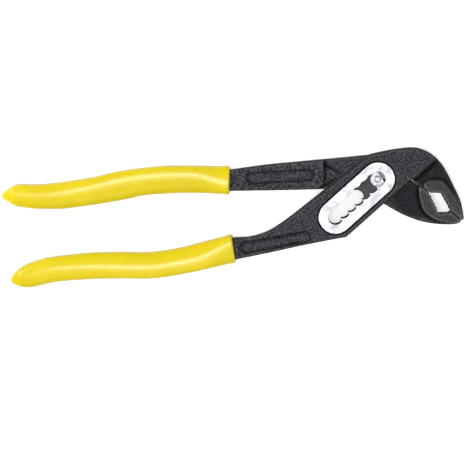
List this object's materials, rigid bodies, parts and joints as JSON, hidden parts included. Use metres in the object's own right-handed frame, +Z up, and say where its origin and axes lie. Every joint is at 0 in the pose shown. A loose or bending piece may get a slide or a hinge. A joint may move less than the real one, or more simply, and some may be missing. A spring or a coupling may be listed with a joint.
{
  "type": "tongue and groove pliers",
  "caption": "Box-joint slip pliers with a toothed adjusting slot, hooked serrated jaws and long dipped grips, lying flat and closed.",
  "frame": {"origin": "on the pivot axis, in the plane that the tool lies on: the rear end face of the pivot rivet", "axes": "+Z up along the pivot axis; +X along the tool from the grips towards the jaws; the outer lever's handle is on the -Y side"},
  "size_m": [0.2497, 0.0755, 0.012],
  "materials": {
    "forged_steel": "black textured forged skin, satin",
    "ground_steel": "bright, finely ground",
    "grip_vinyl": "glossy yellow dipped vinyl"
  },
  "bodies": {
    "outer_lever": {"outer_lever": "forged_steel", "outer_grip": "grip_vinyl"},
    "pivot": {"pivot_rivet": "ground_steel"},
    "inner_lever": {"inner_lever": "forged_steel", "lock_bush_front": "ground_steel", "lock_bush_rear": "ground_steel", "inner_grip": "grip_vinyl"}
  },
  "joints": [
    {"name": "seat_slide", "type": "slide", "parent": "outer_lever", "child": "pivot", "axis": [-0.7426, -0.6698, 0], "range_m": [0, 0.03046]},
    {"name": "handle_hinge", "type": "hinge", "parent": "pivot", "child": "inner_lever", "pos_m": [0, 0, 0], "axis": [0, 0, -1], "range_deg": [0, 78]}
  ]
}
